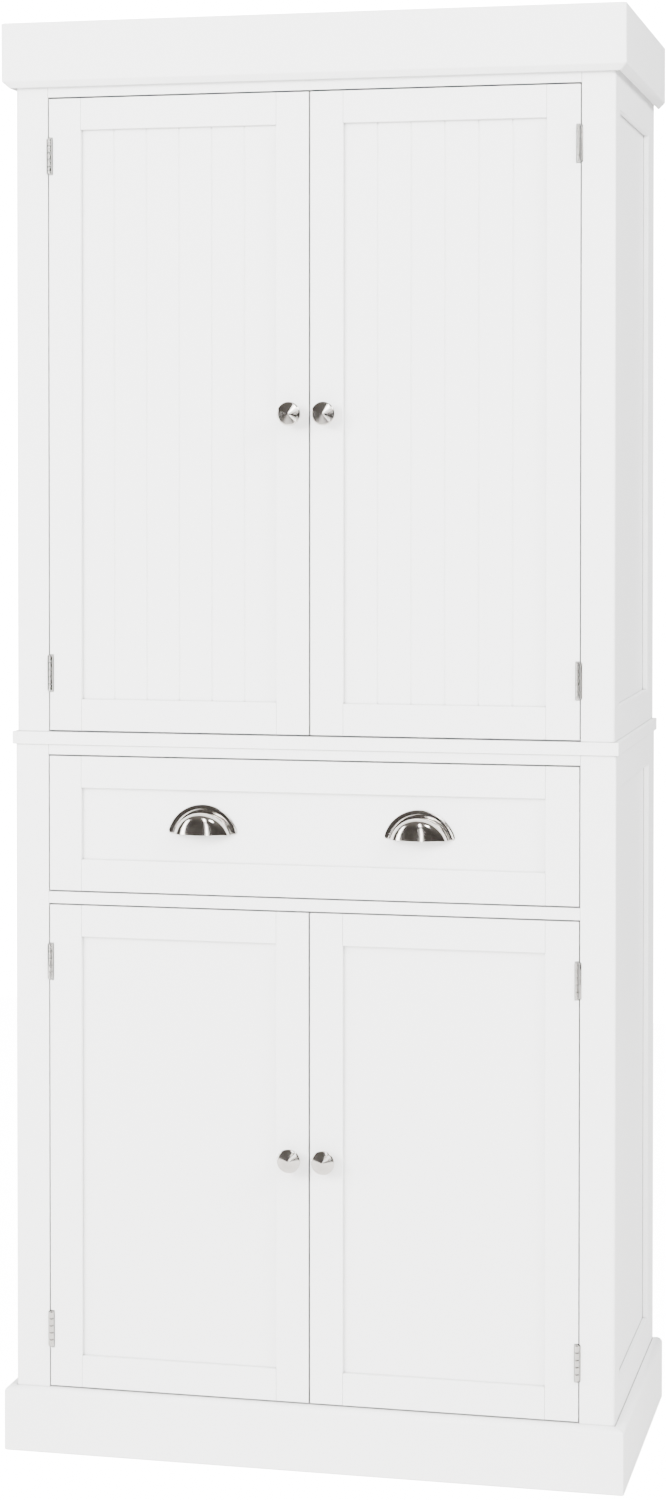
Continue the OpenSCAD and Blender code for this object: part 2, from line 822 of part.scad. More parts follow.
module pull_screws() {
    bite = 1.4;
    shank = bite + box_front_y + drawer_side_t - lower_y - panel_recess;
    color("silver") at_pull_screws() {
        rod_y([0, -bite, 0], screw_d, shank);
        rod_y([0, shank - bite, 0], screw_head_d, screw_head_h);
    }
}

// ---------- the nodes ----------

upper_side_frame(-1);  // upper_left_side_frame
upper_side_panel(-1);  // upper_left_side_panel
upper_side_frame(1);  // upper_right_side_frame
upper_side_panel(1);  // upper_right_side_panel
lower_side_frame(-1);  // lower_left_side_frame
lower_side_panel(-1);  // lower_left_side_panel
lower_side_frame(1);  // lower_right_side_frame
lower_side_panel(1);  // lower_right_side_panel
cornice_front();
cornice_sides();
top_panel();
upper_top_rail();
waist_board();
lower_top_rail();
divider_board();
lower_bottom_board();
plinth_front();
plinth_sides();
upper_back_panel();
lower_back_panel();
wall_fixing_rail();
high_shelf();
middle_shelf();
lower_shelf();
shelf_pins();
hinge_frame_leaves();
hinge_pins();
slide_spacers();
slide_cabinet_members();
slide_middle_members();
slide_drawer_members();
magnetic_catches();
door_frame(-1, upper_y, upper_floor_z, upper_rail_z);  // upper_left_door_frame
door_panel(-1, upper_y, upper_floor_z, upper_rail_z, bead_boards);  // upper_left_door_panel
knob(-1, upper_y, knob_z(upper_floor_z, upper_rail_z));  // upper_left_knob
hinge_leaves(-1, upper_y, upper_floor_z, upper_rail_z);  // upper_left_hinge_leaves
strike_plate(-1, upper_y, upper_strike_z);  // upper_left_strike_plate
door_frame(1, upper_y, upper_floor_z, upper_rail_z);  // upper_right_door_frame
door_panel(1, upper_y, upper_floor_z, upper_rail_z, bead_boards);  // upper_right_door_panel
knob(1, upper_y, knob_z(upper_floor_z, upper_rail_z));  // upper_right_knob
hinge_leaves(1, upper_y, upper_floor_z, upper_rail_z);  // upper_right_hinge_leaves
strike_plate(1, upper_y, upper_strike_z);  // upper_right_strike_plate
door_frame(-1, lower_y, lower_floor_z, divider_z);  // lower_left_door_frame
door_panel(-1, lower_y, lower_floor_z, divider_z, 1);  // lower_left_door_panel
knob(-1, lower_y, knob_z(lower_floor_z, divider_z));  // lower_left_knob
hinge_leaves(-1, lower_y, lower_floor_z, divider_z);  // lower_left_hinge_leaves
strike_plate(-1, lower_y, lower_strike_z);  // lower_left_strike_plate
door_frame(1, lower_y, lower_floor_z, divider_z);  // lower_right_door_frame
door_panel(1, lower_y, lower_floor_z, divider_z, 1);  // lower_right_door_panel
knob(1, lower_y, knob_z(lower_floor_z, divider_z));  // lower_right_knob
hinge_leaves(1, lower_y, lower_floor_z, divider_z);  // lower_right_hinge_leaves
strike_plate(1, lower_y, lower_strike_z);  // lower_right_strike_plate
drawer_front_frame();
drawer_front_panel();
drawer_sides();
drawer_box_front();
drawer_back();
drawer_bottom();
cup_pulls();
pull_screws();
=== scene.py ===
import math

import bmesh
import bpy
from mathutils import Matrix, Vector


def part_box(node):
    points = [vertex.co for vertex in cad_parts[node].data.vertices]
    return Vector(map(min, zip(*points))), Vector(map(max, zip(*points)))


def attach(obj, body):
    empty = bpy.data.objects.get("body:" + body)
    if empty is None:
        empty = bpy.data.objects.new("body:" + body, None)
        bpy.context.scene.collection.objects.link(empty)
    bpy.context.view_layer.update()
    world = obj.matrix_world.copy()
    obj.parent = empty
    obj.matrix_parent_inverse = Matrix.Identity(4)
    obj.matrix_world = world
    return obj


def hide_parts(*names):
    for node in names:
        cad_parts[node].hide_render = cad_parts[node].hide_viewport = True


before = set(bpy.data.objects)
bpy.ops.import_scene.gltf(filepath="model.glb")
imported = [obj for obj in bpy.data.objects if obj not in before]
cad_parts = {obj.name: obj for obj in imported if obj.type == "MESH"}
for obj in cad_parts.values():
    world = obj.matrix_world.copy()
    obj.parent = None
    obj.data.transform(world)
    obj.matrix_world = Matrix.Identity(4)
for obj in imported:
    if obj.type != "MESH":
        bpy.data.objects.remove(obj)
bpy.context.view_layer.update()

# ---- The view ----
# A long lens at chest height, standing to the right of the cabinet, shows its front
# and a narrow strip of its right side. The lens is shifted down to take in the plinth.

camera = bpy.data.objects.new("camera", bpy.data.cameras.new("camera"))
camera.data.lens = 72.055
camera.data.sensor_width = 36.0
camera.data.shift_y = -0.1391
camera.location = (0.8644, -3.8485, 1.2535)
camera.rotation_euler = (math.radians(88.751), 0.0, math.radians(12.823))
bpy.context.scene.collection.objects.link(camera)
bpy.context.scene.camera = camera

# ---- Side frames and their panels ----
# Each side is an L-shaped corner post, a back stile and two rails of 18 mm fibreboard
# round a loose 6 mm panel. They are glued up, filled and sprayed with satin white.

MM = 0.001
EDGE_RADIUS = 0.8 * MM
paint_shade = (0.800, 0.800, 0.795, 1.0)
paint_light = (0.845, 0.845, 0.842, 1.0)
# a painted highlight: lighter paint along eased edges
paint_edge_highlight = (0.940, 0.940, 0.936, 1.0)
# painted shade, laid into corners, joints and gaps where the light does not reach
paint_corner_shade = (0.300, 0.292, 0.280, 1.0)


def add_node(tree, kind, plugs, **settings):
    """One shader node with its settings made and its sockets set or wired up."""
    node = tree.nodes.new("ShaderNode" + kind)
    for name, value in settings.items():
        setattr(node, name, value)
    for plug, value in plugs.items():
        if isinstance(value, bpy.types.NodeSocket):
            tree.links.new(value, node.inputs[plug])
        else:
            node.inputs[plug].default_value = value
    return node


def new_effect(name, inputs, outputs):
    """An empty node group with named number inputs and outputs."""
    tree = bpy.data.node_groups.new(name, "ShaderNodeTree")
    for label, start in inputs.items():
        socket = tree.interface.new_socket(
            label, in_out="INPUT", socket_type="NodeSocketFloat"
        )
        socket.default_value = start
    for label in outputs:
        tree.interface.new_socket(label, in_out="OUTPUT", socket_type="NodeSocketFloat")
    return tree, tree.nodes.new("NodeGroupInput"), tree.nodes.new("NodeGroupOutput")


def use_effect(tree, effect, values):
    """A node group placed in a material with that material's own values."""
    node = tree.nodes.new("ShaderNodeGroup")
    node.node_tree = effect
    for label, value in values.items():
        node.inputs[label].default_value = value
    return node.outputs


def new_finish(name):
    """A material with its Principled shader, ready to be wired."""
    finish = bpy.data.materials.new(name)
    finish.use_nodes = True
    return finish, finish.node_tree, finish.node_tree.nodes["Principled BSDF"]


def spread(tree, mask, low, high):
    """A mask from 0 to 1 taken to the range low to high."""
    return add_node(tree, "MapRange", {0: mask, 3: low, 4: high}).outputs[0]


def blend_colours(tree, mask, first, second):
    """The first colour where the mask is 0 and the second where it is 1."""
    return add_node(
        tree, "Mix", {0: mask, 6: first, 7: second}, data_type="RGBA"
    ).outputs[2]


def raise_surface(tree, shader, height, strength, distance):
    """A bump from a height mask, wired to the shader's normal."""
    bump = add_node(
        tree, "Bump", {"Height": height, "Strength": strength, "Distance": distance}
    )
    tree.links.new(bump.outputs["Normal"], shader.inputs["Normal"])


# a sprayed coat: fine orange peel, and slow drifts in how thick the coat is
coat_effect, coat_in, coat_out = new_effect(
    "sprayed coat", {"Peel Scale": 600.0, "Drift Scale": 3.0}, ["Peel", "Drift"]
)
place = add_node(coat_effect, "TexCoord", {}).outputs["Object"]
peel = add_node(
    coat_effect,
    "TexNoise",
    {"Vector": place, "Scale": coat_in.outputs["Peel Scale"], "Detail": 2.0},
)
drift = add_node(
    coat_effect,
    "TexNoise",
    {"Vector": place, "Scale": coat_in.outputs["Drift Scale"], "Detail": 4.0},
)
coat_effect.links.new(peel.outputs[0], coat_out.inputs["Peel"])
coat_effect.links.new(drift.outputs[0], coat_out.inputs["Drift"])

# edges: found where a rounded normal leaves the flat one, and broken up by noise; on the
# paint it lightens edges as a painted highlight, on metal, wood and plastic it marks rubbed
# edges
edge_wear_and_highlight_effect, edge_in, edge_out = new_effect(
    "rubbed edges and painted highlight", {"Width": 0.0012, "Break Scale": 60.0}, ["Mask"]
)
rounded = add_node(edge_wear_and_highlight_effect, "Bevel", {"Radius": edge_in.outputs["Width"]}, samples=4)
flat = add_node(edge_wear_and_highlight_effect, "NewGeometry", {})
likeness = add_node(
    edge_wear_and_highlight_effect,
    "VectorMath",
    {0: rounded.outputs[0], 1: flat.outputs["Normal"]},
    operation="DOT_PRODUCT",
)
turn = add_node(edge_wear_and_highlight_effect, "MapRange", {0: likeness.outputs["Value"], 1: 0.995, 2: 0.85})
place = add_node(edge_wear_and_highlight_effect, "TexCoord", {}).outputs["Object"]
breaks = add_node(
    edge_wear_and_highlight_effect,
    "TexNoise",
    {"Vector": place, "Scale": edge_in.outputs["Break Scale"], "Detail": 3.0},
)
broken = add_node(edge_wear_and_highlight_effect, "MapRange", {0: breaks.outputs[0], 1: 0.35, 2: 0.65, 3: 0.4})
mask = add_node(
    edge_wear_and_highlight_effect, "Math", {0: turn.outputs[0], 1: broken.outputs[0]}, operation="MULTIPLY"
)
edge_wear_and_highlight_effect.links.new(mask.outputs[0], edge_out.inputs["Mask"])

# painted shade in corners: darkest where parts meet, as in joint lines and under mouldings
shade_in_corners_effect, corner_shade_in, corner_shade_out = new_effect(
    "painted shade in corners", {"Reach": 0.003, "Amount": 0.6}, ["Mask"]
)
openness = add_node(
    shade_in_corners_effect, "AmbientOcclusion", {"Distance": corner_shade_in.outputs["Reach"]}, samples=6
)
closed = add_node(shade_in_corners_effect, "MapRange", {0: openness.outputs["AO"], 1: 0.72, 2: 0.25})
shade_weighted = add_node(
    shade_in_corners_effect,
    "Math",
    {0: closed.outputs[0], 1: corner_shade_in.outputs["Amount"]},
    operation="MULTIPLY",
)
shade_in_corners_effect.links.new(shade_weighted.outputs[0], corner_shade_out.inputs["Mask"])

# satin white: near-even colour, lightened along edges as a painted highlight and darkened in
# corners as painted shade
def white_paint(name, reach, amount, shade_colour):
    """The cabinet's paint, with painted shade as far out of a corner as reach and a painted
    highlight on its edges.
    """
    finish, tree, shader = new_finish(name)
    coat = use_effect(tree, coat_effect, {"Peel Scale": 520.0, "Drift Scale": 2.2})
    edge_wear_and_highlight = use_effect(tree, edge_wear_and_highlight_effect, {"Width": 0.0014, "Break Scale": 45.0})["Mask"]
    field = blend_colours(tree, coat["Drift"], paint_shade, paint_light)
    corner_shade = use_effect(tree, shade_in_corners_effect, {"Reach": reach, "Amount": amount})["Mask"]
    edge_highlit = blend_colours(tree, edge_wear_and_highlight, field, paint_edge_highlight)
    shaded = blend_colours(tree, corner_shade, edge_highlit, shade_colour)
    tree.links.new(shaded, shader.inputs["Base Color"])
    tree.links.new(spread(tree, coat["Drift"], 0.46, 0.34), shader.inputs["Roughness"])
    shader.inputs["Specular IOR Level"].default_value = 0.42
    raise_surface(tree, shader, coat["Peel"], 0.10, 0.12 * MM)
    return finish


satin_white = white_paint("satin white paint", 3.5 * MM, 0.95, paint_corner_shade)


def finish_part(name, finish, radius=EDGE_RADIUS):
    """Gives a CAD part its finish, and eases its sharp edges by a small radius."""
    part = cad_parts[name]
    for slot in part.material_slots:
        slot.material = finish
    weld = part.modifiers.new("weld", "WELD")
    weld.merge_threshold = 0.02 * MM
    eased = part.modifiers.new("eased edges", "BEVEL")
    eased.width = radius
    eased.segments = 2
    eased.limit_method = "ANGLE"
    eased.angle_limit = math.radians(30.0)
    eased.use_clamp_overlap = False
    eased.loop_slide = False
    eased.harden_normals = True


for level in ("upper", "lower"):
    for side in ("left", "right"):
        finish_part(f"{level}_{side}_side_frame", satin_white)
        finish_part(f"{level}_{side}_side_panel", satin_white)

# ---- Cornice and plinth ----
# Mitred boards glued round the front and sides. The cornice has a chamfer under it,
# and the plinth a large round over its top edge. Both are sprayed with the cabinet.
# A rebate behind the cornice's lower edge stays in shadow. That shadow is deepened with
# darker painted shade on the cornice and on the rail below it.

# a near-black painted shade that reaches further, for the shadow line in the rebate under the
# cornice
cornice_rebate_shade = (0.10, 0.098, 0.095, 1.0)
cornice_white = white_paint("satin white over rebate", 5.0 * MM, 1.0, cornice_rebate_shade)
for name in ("cornice_front", "cornice_sides"):
    finish_part(name, cornice_white, 1.5 * MM)
for name in ("plinth_front", "plinth_sides"):
    finish_part(name, satin_white, 1.5 * MM)

# ---- Boards that join the sides ----
# The top, the rails, the waist board, the drawer divider and the bottom are
# fibreboard, dowelled and glued between the side frames and sprayed with them.

# the rail under the cornice takes the cornice's darker painted shade
finish_part("upper_top_rail", cornice_white)
for name in (
    "top_panel",
    "waist_board",
    "lower_top_rail",
    "divider_board",
    "lower_bottom_board",
):
    finish_part(name, satin_white)

# ---- Shelves and shelf pins ----
# Three loose painted shelves rest on nickel-plated pins. Each pin is a turned rod
# with a collar that stops it at the side, and pushes into a drilled hole.


def new_piece(name, bm, body, finish, origin=(0.0, 0.0, 0.0), smooth=35.0):
    """A finished piece from its mesh, riding on a body."""
    bmesh.ops.recalc_face_normals(bm, faces=bm.faces)
    mesh = bpy.data.meshes.new(name)
    bm.to_mesh(mesh)
    bm.free()
    mesh.shade_smooth()
    mesh.set_sharp_from_angle(angle=math.radians(smooth))
    mesh.materials.append(finish)
    piece = bpy.data.objects.new(name, mesh)
    piece.location = origin
    bpy.context.scene.collection.objects.link(piece)
    bpy.context.view_layer.update()
    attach(piece, body)
    return piece


def facing(centre, direction):
    """The matrix that takes local Z to a direction, from a centre."""
    turn = Vector(direction).to_track_quat("Z", "Y").to_matrix().to_4x4()
    return Matrix.Translation(centre) @ turn


def turned(bm, outline, steps, where):
    """A turned shape: radius and height pairs swept round local Z of a matrix."""
    rings = []
    for radius, height in outline:
        count = 1 if radius == 0 else steps
        angles = [2 * math.pi * n / steps for n in range(count)]
        rings.append(
            [
                bm.verts.new(
                    where @ Vector((radius * math.cos(a), radius * math.sin(a), height))
                )
                for a in angles
            ]
        )
    for low, high in zip(rings, rings[1:]):
        for n in range(steps):
            corners = []
            for ring, at in ((low, n), (low, n + 1), (high, n + 1), (high, n)):
                vert = ring[at % len(ring)]
                if vert not in corners:
                    corners.append(vert)
            bm.faces.new(corners)


# a long grain: noise stretched along one direction, for wood and for brushed metal
grain_effect, grain_in, grain_out = new_effect(
    "long grain",
    {"Across X": 1.0, "Across Y": 1.0, "Across Z": 1.0, "Scale": 40.0, "Waver": 0.5},
    ["Figure", "Fibre"],
)
place = add_node(grain_effect, "TexCoord", {}).outputs["Object"]
across = add_node(
    grain_effect,
    "CombineXYZ",
    {n: grain_in.outputs[f"Across {axis}"] for n, axis in enumerate("XYZ")},
)
stretched = add_node(
    grain_effect, "VectorMath", {0: place, 1: across.outputs[0]}, operation="MULTIPLY"
)
figure = add_node(
    grain_effect,
    "TexNoise",
    {
        "Vector": stretched.outputs[0],
        "Scale": grain_in.outputs["Scale"],
        "Detail": 5.0,
        "Distortion": grain_in.outputs["Waver"],
    },
)
finer = add_node(
    grain_effect, "Math", {0: grain_in.outputs["Scale"], 1: 9.0}, operation="MULTIPLY"
)
fibre = add_node(
    grain_effect,
    "TexNoise",
    {"Vector": stretched.outputs[0], "Scale": finer.outputs[0], "Detail": 3.0},
)
grain_effect.links.new(figure.outputs[0], grain_out.inputs["Figure"])
grain_effect.links.new(fibre.outputs[0], grain_out.inputs["Fibre"])


def metal_finish(name, dark, light, rough, across, scale, edge_light):
    """A plated metal with a fine brushed grain and brighter rubbed edges."""
    finish, tree, shader = new_finish(name)
    values = {f"Across {axis}": value for axis, value in zip("XYZ", across)}
    grain = use_effect(tree, grain_effect, {**values, "Scale": scale, "Waver": 0.0})
    edge_wear_and_highlight = use_effect(tree, edge_wear_and_highlight_effect, {"Width": 0.0005, "Break Scale": 300.0})["Mask"]
    field = blend_colours(tree, grain["Figure"], dark, light)
    tree.links.new(
        blend_colours(tree, edge_wear_and_highlight, field, edge_light), shader.inputs["Base Color"]
    )
    tree.links.new(
        spread(tree, grain["Fibre"], rough[0], rough[1]), shader.inputs["Roughness"]
    )
    shader.inputs["Metallic"].default_value = 1.0
    raise_surface(tree, shader, grain["Fibre"], 0.12, 0.05 * MM)
    return finish


nickel_plate = metal_finish(
    "nickel plate",
    (0.56, 0.53, 0.49, 1.0),
    (0.66, 0.63, 0.59, 1.0),
    (0.14, 0.26),
    (0.1, 1.0, 1.0),
    900.0,
    (0.78, 0.75, 0.71, 1.0),
)

for name in ("high_shelf", "middle_shelf", "lower_shelf"):
    finish_part(name, satin_white)

PIN_OUT = 8.0 * MM
SHELF_TO_SIDE = 1.0 * MM
FRONT_PIN_SETBACK = 29.0 * MM
pins_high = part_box("shelf_pins")[1]
pin_d = 5.0 * MM
pin_outline = [
    (0.0, -PIN_OUT),
    (pin_d * 0.36, -PIN_OUT),
    (pin_d * 0.5, -PIN_OUT + 0.6 * MM),
    (pin_d * 0.5, 0.05 * MM),
    (pin_d * 0.68, 0.15 * MM),
    (pin_d * 0.68, 0.8 * MM),
    (pin_d * 0.5, 0.9 * MM),
    (pin_d * 0.5, PIN_OUT - 0.6 * MM),
    (pin_d * 0.4, PIN_OUT),
    (0.0, PIN_OUT),
]
bm = bmesh.new()
for name, level in (
    ("high_shelf", "upper"),
    ("middle_shelf", "upper"),
    ("lower_shelf", "lower"),
):
    shelf_low, shelf_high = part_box(name)
    pin_x = shelf_high.x + SHELF_TO_SIDE
    front_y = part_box(f"{level}_left_side_frame")[0].y + FRONT_PIN_SETBACK
    for x in (-pin_x, pin_x):
        for y in (front_y, pins_high.y - pin_d / 2):
            centre = (x, y, shelf_low.z - pin_d / 2)
            inward = (-math.copysign(1.0, x), 0.0, 0.0)
            turned(bm, pin_outline, 20, facing(centre, inward))
pins = new_piece("shelf_pin_set", bm, "cabinet", nickel_plate)
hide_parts("shelf_pins")

# ---- Hardboard backs ----
# Two sheets of 3 mm hardboard sit in the rebates of the back stiles, smooth face in
# and meshed face out, and are held by round-headed nails along every edge.

board_dark = (0.130, 0.072, 0.036, 1.0)
board_light = (0.215, 0.128, 0.066, 1.0)
board_fleck = (0.290, 0.190, 0.108, 1.0)
hardboard, tree, shader = new_finish("pressed hardboard")
coat = use_effect(tree, coat_effect, {"Peel Scale": 900.0, "Drift Scale": 7.0})
grain = use_effect(
    tree, grain_effect, {"Across X": 1.0, "Across Z": 0.55, "Scale": 160.0, "Waver": 1.5}
)
field = blend_colours(tree, coat["Drift"], board_dark, board_light)
fleck = add_node(tree, "MapRange", {0: grain["Figure"], 1: 0.52, 2: 0.72}).outputs[0]
tree.links.new(
    blend_colours(tree, fleck, field, board_fleck), shader.inputs["Base Color"]
)
tree.links.new(spread(tree, grain["Figure"], 0.62, 0.82), shader.inputs["Roughness"])
raise_surface(tree, shader, coat["Peel"], 0.35, 0.25 * MM)

zinc_plate = metal_finish(
    "zinc plate",
    (0.50, 0.52, 0.55, 1.0),
    (0.66, 0.68, 0.70, 1.0),
    (0.24, 0.42),
    (1.0, 0.08, 1.0),
    420.0,
    (0.76, 0.77, 0.79, 1.0),
)

NAIL_PITCH = 105.0 * MM
NAIL_INSET = 5.0 * MM
nail_outline = [
    (0.0, 0.55 * MM),
    (1.0 * MM, 0.48 * MM),
    (1.8 * MM, 0.25 * MM),
    (2.1 * MM, -0.1 * MM),
    (0.0, -0.1 * MM),
]
for level in ("upper", "lower"):
    name = f"{level}_back_panel"
    finish_part(name, hardboard, 0.3 * MM)
    low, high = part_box(name)
    bm = bmesh.new()
    rows = round((high.z - low.z) / NAIL_PITCH)
    columns = round((high.x - low.x) / NAIL_PITCH)
    left, right = low.x + NAIL_INSET, high.x - NAIL_INSET
    bottom, top = low.z + NAIL_INSET, high.z - NAIL_INSET
    nails = [
        (x, bottom + (top - bottom) * n / rows)
        for n in range(rows + 1)
        for x in (left, right)
    ]
    nails += [
        (left + (right - left) * n / columns, z)
        for n in range(1, columns)
        for z in (bottom, top)
    ]
    for x, z in nails:
        turned(bm, nail_outline, 12, facing((x, high.y, z), (0.0, 1.0, 0.0)))
    new_piece(f"{level}_back_nails", bm, "cabinet", zinc_plate)

# ---- Wall fixing rail ----
# A clear-lacquered softwood rail inside, under the top and against the hardboard, with
# two holes for the screws that stop the cabinet from tipping forward.


def wood_finish(name, across, dark, light, line):
    """Lacquered wood with a long figure, dark lines and open pores."""
    finish, tree, shader = new_finish(name)
    values = {f"Across {axis}": value for axis, value in zip("XYZ", across)}
    grain = use_effect(tree, grain_effect, {**values, "Scale": 38.0, "Waver": 1.2})
    edge_wear_and_highlight = use_effect(tree, edge_wear_and_highlight_effect, {"Width": 0.001, "Break Scale": 90.0})["Mask"]
    field = blend_colours(tree, grain["Figure"], dark, light)
    lines = add_node(tree, "MapRange", {0: grain["Fibre"], 1: 0.56, 2: 0.74}).outputs[0]
    lined = blend_colours(tree, lines, field, line)
    tree.links.new(blend_colours(tree, edge_wear_and_highlight, lined, light), shader.inputs["Base Color"])
    tree.links.new(spread(tree, grain["Fibre"], 0.36, 0.56), shader.inputs["Roughness"])
    raise_surface(tree, shader, grain["Fibre"], 0.25, 0.12 * MM)
    return finish


wood_dark = (0.46, 0.31, 0.17, 1.0)
wood_light = (0.66, 0.50, 0.32, 1.0)
wood_line = (0.36, 0.22, 0.11, 1.0)
wood_along_x = wood_finish(
    "lacquered wood, grain across", (0.06, 1.0, 1.0), wood_dark, wood_light, wood_line
)
wood_along_y = wood_finish(
    "lacquered wood, grain fore and aft", (1.0, 0.06, 1.0), wood_dark, wood_light, wood_line
)
finish_part("wall_fixing_rail", wood_along_x)

# ---- Drawer slides ----
# Three-part steel slides, bright zinc plated. The outer members are screwed to
# softwood runners in the cabinet, and the inner ones to the sides of the drawer box.


def screw_mould(radius, rise):
    """The mesh of a cross-head screw's head, from its rim to a low dome."""
    bm = bmesh.new()
    dome = [
        (0.0, rise),
        (radius * 0.55, rise * 0.86),
        (radius * 0.85, rise * 0.5),
        (radius, 0.0),
        (radius * 0.92, -rise),
        (0.0, -rise),
    ]
    turned(bm, dome, 20, Matrix.Identity(4))
    bmesh.ops.recalc_face_normals(bm, faces=bm.faces)
    head = bpy.data.meshes.new("screw head")
    bm.to_mesh(head)
    bm.free()
    bm = bmesh.new()
    for wide, deep in ((0.62, 0.11), (0.11, 0.62)):
        size = Matrix.Diagonal((radius * wide * 2, radius * deep * 2, rise * 3, 1.0))
        bmesh.ops.create_cube(
            bm, size=1.0, matrix=Matrix.Translation((0.0, 0.0, rise * 1.4)) @ size
        )
    cross = bpy.data.meshes.new("cross cut")
    bm.to_mesh(cross)
    bm.free()
    head_object = bpy.data.objects.new("screw head", head)
    cross_object = bpy.data.objects.new("cross cut", cross)
    for each in (head_object, cross_object):
        bpy.context.scene.collection.objects.link(each)
    cut = head_object.modifiers.new("cross", "BOOLEAN")
    cut.object = cross_object
    cut.operation = "DIFFERENCE"
    cut.use_self = True
    made = bpy.data.meshes.new_from_object(
        head_object.evaluated_get(bpy.context.evaluated_depsgraph_get())
    )
    for each in (head_object, cross_object):
        bpy.data.objects.remove(each)
    return made


def set_screws(bm, mould, places):
    """Copies of a screw head at a list of centres and directions."""
    for centre, direction in places:
        before = set(bm.verts)
        bm.from_mesh(mould)
        added = [vert for vert in bm.verts if vert not in before]
        bmesh.ops.transform(bm, matrix=facing(centre, direction), verts=added)


SLIDE_LAYER = 4.0 * MM
SLIDE_SCREWS_ALONG = (0.08, 0.42, 0.9)
slide_screw = screw_mould(2.8 * MM, 0.14 * MM)
for name in ("slide_cabinet_members", "slide_middle_members", "slide_drawer_members"):
    finish_part(name, zinc_plate, 0.35 * MM)
finish_part("slide_spacers", wood_along_y)
for body in ("cabinet", "drawer"):
    low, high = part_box(f"slide_{body}_members")
    face_x = high.x if body == "drawer" else high.x - SLIDE_LAYER
    inward = 1.0 if body == "drawer" else -1.0
    middle_z = (low.z + high.z) / 2
    places = [
        (
            (side * face_x, low.y + (high.y - low.y) * along, middle_z),
            (side * inward, 0.0, 0.0),
        )
        for side in (-1.0, 1.0)
        for along in SLIDE_SCREWS_ALONG
    ]
    bm = bmesh.new()
    set_screws(bm, slide_screw, places)
    new_piece(f"{body}_slide_screws", bm, body, zinc_plate)

# ---- Magnetic catches and strike plates ----
# White plastic catches under the divider and on the waist board hold the doors by
# two steel poles each. A plated strike plate is screwed to the back of every door.

plastic_white = (0.80, 0.80, 0.785, 1.0)
plastic_shade = (0.73, 0.73, 0.71, 1.0)
moulded_plastic, tree, shader = new_finish("moulded white plastic")
coat = use_effect(tree, coat_effect, {"Peel Scale": 1500.0, "Drift Scale": 25.0})
edge_wear_and_highlight = use_effect(tree, edge_wear_and_highlight_effect, {"Width": 0.0008, "Break Scale": 200.0})["Mask"]
field = blend_colours(tree, coat["Drift"], plastic_shade, plastic_white)
tree.links.new(
    blend_colours(tree, edge_wear_and_highlight, field, plastic_white), shader.inputs["Base Color"]
)
tree.links.new(spread(tree, coat["Peel"], 0.42, 0.58), shader.inputs["Roughness"])
raise_surface(tree, shader, coat["Peel"], 0.2, 0.06 * MM)
finish_part("magnetic_catches", moulded_plastic, 0.9 * MM)


def rounded_plate(bm, size, corner, edge, where):
    """A plate of width, height and thickness, standing on local XY, with round corners."""
    wide, tall, thick = size
    points = []
    for cx, cy, start in (
        (wide / 2 - corner, tall / 2 - corner, 0.0),
        (-wide / 2 + corner, tall / 2 - corner, 90.0),
        (-wide / 2 + corner, -tall / 2 + corner, 180.0),
        (wide / 2 - corner, -tall / 2 + corner, 270.0),
    ):
        for n in range(6):
            a = math.radians(start + 90.0 * n / 5)
            points.append((cx + corner * math.cos(a), cy + corner * math.sin(a)))
    rings = []
    for shrink, z in ((0.0, 0.0), (0.0, thick - edge), (edge, thick)):
        scale_x = (wide / 2 - shrink) / (wide / 2)
        scale_y = (tall / 2 - shrink) / (tall / 2)
        rings.append(
            [bm.verts.new(where @ Vector((x * scale_x, y * scale_y, z))) for x, y in points]
        )
    count = len(points)
    for low, high in zip(rings, rings[1:]):
        for n in range(count):
            m = (n + 1) % count
            bm.faces.new((low[n], low[m], high[m], high[n]))
    bm.faces.new(list(reversed(rings[0])))
    bm.faces.new(rings[-1])


DOORS = [(level, side) for level in ("upper", "lower") for side in ("left", "right")]
STRIKE_SCREW_OUT = 13.0 * MM
POLE_RISE = 2.6 * MM
POLE_SIZE = (32.0 * MM, 1.6 * MM, 0.8 * MM)
POLE_GAP = 1.0 * MM
BACKWARD = (0.0, 1.0, 0.0)
FORWARD = (0.0, -1.0, 0.0)
strike_screw = screw_mould(2.6 * MM, 0.3 * MM)
poles = bmesh.new()
for level, side in DOORS:
    name = f"{level}_{side}_strike_plate"
    low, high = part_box(name)
    centre = (low + high) / 2
    bm = bmesh.new()
    size = (high.x - low.x, high.z - low.z, high.y - low.y)
    where = facing((centre.x, low.y, centre.z), BACKWARD)
    rounded_plate(bm, size, 3.0 * MM, 0.3 * MM, where)
    for out in (-STRIKE_SCREW_OUT, STRIKE_SCREW_OUT):
        place = (centre.x + out, high.y, centre.z)
        set_screws(bm, strike_screw, [(place, BACKWARD)])
    door = f"{level}_{side}_door"
    strike = new_piece(f"{level}_{side}_strike", bm, door, nickel_plate)
    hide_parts(name)
    for rise in (-POLE_RISE, POLE_RISE):
        where = facing((centre.x, high.y + POLE_GAP, centre.z + rise), FORWARD)
        rounded_plate(poles, POLE_SIZE, 0.5 * MM, 0.15 * MM, where)
new_piece("catch_poles", poles, "cabinet", zinc_plate)

# ---- Doors ----
# Frame-and-panel doors of fibreboard, glued up and sprayed. The upper panels are
# cut with V grooves to look like narrow boards, and the lower panels are plain.

for level, side in DOORS:
    finish_part(f"{level}_{side}_door_frame", satin_white)
    finish_part(f"{level}_{side}_door_panel", satin_white, 0.5 * MM)

# ---- Hinges ----
# Two small nickel-plated butt hinges to each door. Their knuckles show beside the
# door, their leaves are let in, and three countersunk screws hold each leaf.

